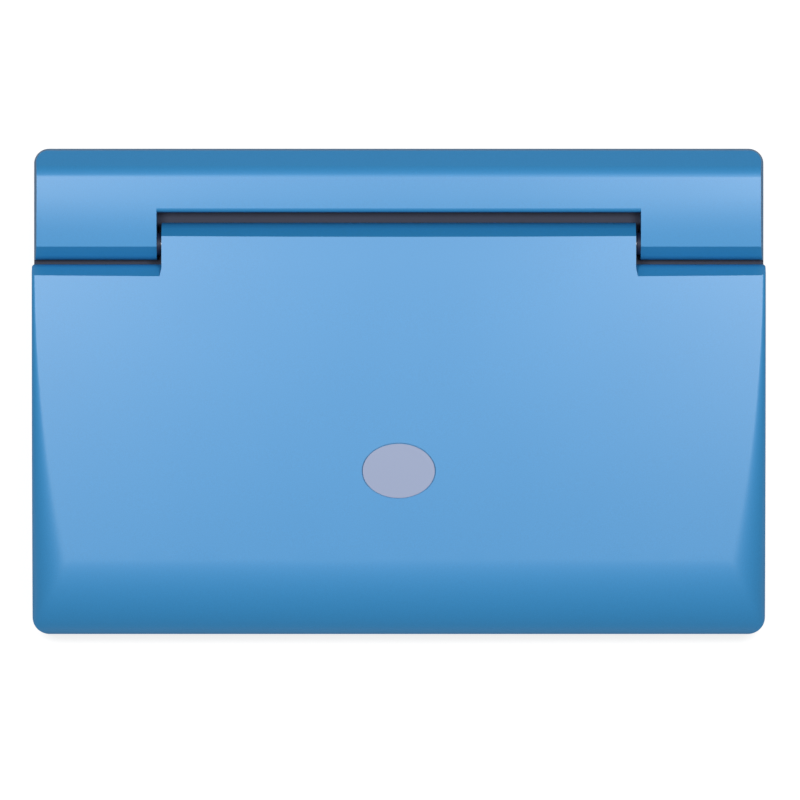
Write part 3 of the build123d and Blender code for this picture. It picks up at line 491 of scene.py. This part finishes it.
def lid_height(x, y):
    share = min(max((lid_rear - y) / (lid_rear - lid_front), 0.0), share_limit)
    side_run = side_run_rear + (side_run_front - side_run_rear) * share ** 2
    side_drop = side_drop_rear + (side_drop_front - side_drop_rear) * share ** 2
    side = rounding(lid_half - abs(x), side_run, side_drop)
    front = rounding(y - lid_front, front_run, front_drop)
    top = lid_top - lid_fall * share ** fall_power - lid_crown * (x / lid_half) ** 2
    return top - (side ** blend + front ** blend) ** (1 / blend)


def lid_normal(x, y):
    step = 0.00002
    slope_x = (lid_height(x + step, y) - lid_height(x - step, y)) / (2 * step)
    slope_y = (lid_height(x, y + step) - lid_height(x, y - step)) / (2 * step)
    return Vector((-slope_x, -slope_y, 1)).normalized()


def on_skin(face):
    gaps = [abs(vertex.co.z - lid_height(vertex.co.x, vertex.co.y)) for vertex in face.verts]
    return face.normal.z > skin_slope and max(gaps) < skin_tolerance


def cuts():
    # Planes across the lid, closer together towards its rims.
    distances = [first_cut]
    while distances[-1] < lid_half:
        last = distances[-1]
        distances.append(last * cut_growth + first_cut if last < fine_zone else last + coarse_step)
    for distance in distances:
        yield (lid_half - distance, 0, 0), (1, 0, 0)
        yield (distance - lid_half, 0, 0), (1, 0, 0)
    for distance in distances:
        yield (0, lid_front + min(distance, lid_half), 0), (0, 1, 0)


def cut_skin(shape):
    # Cut the outer faces small, and set the corners that only they share on the lid's formula.
    skin = shape.faces.layers.int.new("skin")
    for face in shape.faces:
        face[skin] = int(on_skin(face))
    for spot, way in cuts():
        faces = [face for face in shape.faces if face[skin]]
        edges = {edge for face in faces for edge in face.edges}
        corners = {vertex for face in faces for vertex in face.verts}
        parts = faces + list(edges) + list(corners)
        bmesh.ops.bisect_plane(shape, geom=parts, plane_co=spot, plane_no=way, dist=cut_snap)
    for vertex in shape.verts:
        if vertex.link_faces and all(face[skin] for face in vertex.link_faces):
            vertex.co.z = lid_height(vertex.co.x, vertex.co.y)
    bmesh.ops.triangulate(shape, faces=[face for face in shape.faces if len(face.verts) > 3])


def skin_normals(mesh):
    # The formula's slope on the skin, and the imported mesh's own normals elsewhere.
    marks = mesh.attributes["skin"].data
    stored = mesh.attributes["kept"].data
    normals = []
    for face in mesh.polygons:
        for corner in face.loop_indices:
            spot = mesh.vertices[mesh.loops[corner].vertex_index].co
            on_formula = marks[face.index].value
            normals.append(lid_normal(spot.x, spot.y) if on_formula else Vector(stored[corner].vector))
    return normals


def lid_skin():
    # Stands for the lid's shell: a copy with finer outer faces.
    source = nodes["lid_back_shell"].data
    mesh = source.copy()
    mesh.name = "lid_skin"
    kept = mesh.attributes.new("kept", "FLOAT_VECTOR", "CORNER")
    for corner, normal in enumerate(source.corner_normals):
        kept.data[corner].vector = normal.vector
    shape = bmesh.new()
    shape.from_mesh(mesh)
    cut_skin(shape)
    shape.to_mesh(mesh)
    shape.free()
    mesh.normals_split_custom_set(skin_normals(mesh))
    mesh.attributes.remove(mesh.attributes["skin"])
    mesh.attributes.remove(mesh.attributes["kept"])
    piece = bpy.data.objects.new("lid_skin", mesh)
    scene.collection.objects.link(piece)
    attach(piece, "lid")
    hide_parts("lid_back_shell")


lid_skin()


# Printed legends: thin sheets that follow the surface under them

def surface_of(name):
    mesh = nodes[name].data
    corners = [vertex.co.copy() for vertex in mesh.vertices]
    return BVHTree.FromPolygons(corners, [tuple(face.vertices) for face in mesh.polygons])


def glyph(text, size):
    # Outline of a letter or digit, centred.
    curve = bpy.data.curves.new("glyph", "FONT")
    curve.body = text
    curve.size = size
    curve.resolution_u = 5
    holder = bpy.data.objects.new("glyph", curve)
    shape = bmesh.new()
    shape.from_mesh(bpy.data.meshes.new_from_object(holder))
    bpy.data.objects.remove(holder)
    xs = [vertex.co.x for vertex in shape.verts]
    ys = [vertex.co.y for vertex in shape.verts]
    middle = Vector(((min(xs) + max(xs)) / 2, (min(ys) + max(ys)) / 2, 0))
    bmesh.ops.translate(shape, verts=shape.verts, vec=-middle)
    return shape


def icon(outlines, size):
    # Polygons drawn in units of the icon's half size.
    shape = bmesh.new()
    for outline in outlines:
        shape.faces.new([shape.verts.new((x * size, y * size, 0)) for x, y in outline])
    return shape


def lay(name, shape, centre, carrier, body, finish):
    # Cut the sheet into strips and drop each corner onto the carrier.
    surface = surface_of(carrier)
    reach = max(abs(vertex.co.y) for vertex in shape.verts)
    for step in range(-int(reach / slices), int(reach / slices) + 1):
        parts = shape.verts[:] + shape.edges[:] + shape.faces[:]
        bmesh.ops.bisect_plane(shape, geom=parts, plane_co=(0, step * slices, 0), plane_no=(0, 1, 0))
    for vertex in shape.verts:
        above = Vector((centre[0] + vertex.co.x, centre[1] + vertex.co.y, above_all))
        hit = surface.ray_cast(above, Vector((0, 0, -1)))[0]
        vertex.co = (above.x, above.y, hit.z + lift)
    mesh = bpy.data.meshes.new(name)
    shape.to_mesh(mesh)
    shape.free()
    mesh.materials.append(finish)
    piece = bpy.data.objects.new(name, mesh)
    scene.collection.objects.link(piece)
    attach(piece, body)


def turned(outline, quarter):
    for _ in range(quarter):
        outline = [(-y, x) for x, y in outline]
    return outline


def arc(radius, start, end, steps=20):
    angles = [math.radians(start + (end - start) * step / steps) for step in range(steps + 1)]
    return [(radius * math.cos(a), radius * math.sin(a)) for a in angles]


arrow = [(-0.22, -1), (0.22, -1), (0.22, 0.1), (0.7, 0.1), (0, 1), (-0.7, 0.1), (-0.22, 0.1)]
return_arrow = [(-1, 0), (-0.3, 0.6), (-0.3, 0.2), (0.75, 0.2), (0.75, 0.85), (1.1, 0.85), (1.1, -0.2),
                (-0.3, -0.2), (-0.3, -0.6)]
icons = {
    "key_up": (arrow, 0),
    "key_left": (arrow, 1),
    "key_down": (arrow, 2),
    "key_right": (arrow, 3),
    "key_backspace": (arrow, 1),
    "key_shift": (arrow, 0),
    "key_enter": (return_arrow, 0),
}
power_ring = arc(1.0, 120, 420) + arc(0.74, 420, 120)
power_bar = [(-0.13, 0.2), (0.13, 0.2), (0.13, 1.2), (-0.13, 1.2)]


def centre_of(name):
    low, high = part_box(name)
    return (low.x + high.x) / 2, (low.y + high.y) / 2


def print_keys():
    for name in key_names:
        tag = "legend_" + name[4:]
        if name in icons:
            outline, quarter = icons[name]
            shape = icon([turned(outline, quarter)], icon_size)
            lay(tag, shape, centre_of(name), name, name, white_ink)
        elif name != "key_space":
            shape = glyph(name[4:].upper(), letter_size)
            lay(tag, shape, centre_of(name), name, name, dark_ink)


def print_pads():
    pitch = (strip_high.x - strip_low.x) / pad_count
    y = (strip_low.y + strip_high.y) / 2
    for index in range(pad_count):
        digit = str((index + 1) % 10)
        centre = (strip_low.x + (index + 0.5) * pitch, y)
        shape = glyph(digit, digit_size)
        lay("pad_digit_" + digit, shape, centre, "number_strip", "base", white_ink)


def print_power():
    shape = icon([power_ring, power_bar], power_size)
    button = "power_button"
    lay("power_icon", shape, centre_of(button), button, button, white_ink)


print_keys()
print_pads()
print_power()


# Floor, light and camera

def painted_shadow_fade(tree):
    # 0 at the object's foot, rising to 1 away from it: a shadow painted round the object into the floor's
    # glow.
    away = []
    for name, reach in (("X", cad_box[1].x), ("Y", cad_box[1].y)):
        beside = math_node(tree, "SUBTRACT", math_node(tree, "ABSOLUTE", axis(tree, name)), reach)
        away.append(math_node(tree, "POWER", math_node(tree, "MAXIMUM", beside, 0.0), 2.0))
    distance = math_node(tree, "SQRT", math_node(tree, "ADD", away[0], away[1]))
    fade = node(tree, "ShaderNodeMapRange", interpolation_type="SMOOTHSTEP")
    fade.inputs["From Max"].default_value = shadow_reach
    tree.links.new(distance, fade.inputs["Value"])
    return fade.outputs["Result"]


def floor():
    made, tree, shader = new_material("floor_white")
    shader.inputs["Base Color"].default_value = (floor_grey, floor_grey, floor_grey, 1)
    shader.inputs["Roughness"].default_value = 0.9
    shader.inputs["Specular IOR Level"].default_value = 0.1
    rays = node(tree, "ShaderNodeLightPath").outputs
    mirrored = math_node(tree, "MAXIMUM", rays["Is Glossy Ray"], rays["Is Transmission Ray"])
    # Painted shadow: the glow seen in reflections fades out near the object.
    mirrored = math_node(tree, "MULTIPLY", mirrored, painted_shadow_fade(tree))
    seen = math_node(tree, "MAXIMUM", rays["Is Camera Ray"], mirrored)
    shader.inputs["Emission Color"].default_value = (1, 1, 1, 1)
    tree.links.new(math_node(tree, "MULTIPLY", seen, floor_glow), shader.inputs["Emission Strength"])
    bpy.ops.mesh.primitive_plane_add(size=floor_size, location=(0, 0, -floor_gap))
    plane = bpy.context.object
    plane.name = "floor"
    plane.data.materials.append(made)


def softbox(name, x, power):
    spot = (x, lamp_y, lamp_z)
    lamp = bpy.data.lights.new(name, "AREA")
    lamp.shape = "RECTANGLE"
    lamp.size = lamp_size
    lamp.size_y = lamp_size
    lamp.energy = power
    made = bpy.data.objects.new(name, lamp)
    made.location = spot
    made.rotation_mode = "QUATERNION"
    made.rotation_quaternion = (Vector(lamp_aim) - Vector(spot)).to_track_quat("-Z", "Y")
    scene.collection.objects.link(made)


def world():
    made = bpy.data.worlds.new("studio")
    scene.world = made
    made.use_nodes = True
    tree = made.node_tree
    back = tree.nodes["Background"]
    path = node(tree, "ShaderNodeLightPath")
    spread = node(tree, "ShaderNodeMapRange")
    spread.inputs["To Min"].default_value = world_light
    spread.inputs["To Max"].default_value = 1.0
    tree.links.new(path.outputs["Is Camera Ray"], spread.inputs["Value"])
    tree.links.new(spread.outputs["Result"], back.inputs["Strength"])
    back.inputs["Color"].default_value = (1, 1, 1, 1)


def camera():
    # Straight above, with the outline at its size and place in the photograph.
    low, high = cad_box
    width = (high.x - low.x) * photo_size / (photo_right - photo_left)
    pixel = width / photo_size
    data = bpy.data.cameras.new("camera")
    data.lens = lens
    data.sensor_width = sensor
    made = bpy.data.objects.new("camera", data)
    x = (low.x + high.x) / 2 + (photo_size / 2 - (photo_left + photo_right) / 2) * pixel
    y = (low.y + high.y) / 2 - (photo_size / 2 - (photo_top + photo_bottom) / 2) * pixel
    made.location = (x, y, high.z + width * lens / sensor)
    scene.collection.objects.link(made)
    scene.camera = made


floor()
world()
camera()
softbox("key_left", -lamp_x, left_power)
softbox("key_right", lamp_x, right_power)
scene.view_settings.view_transform = "Standard"
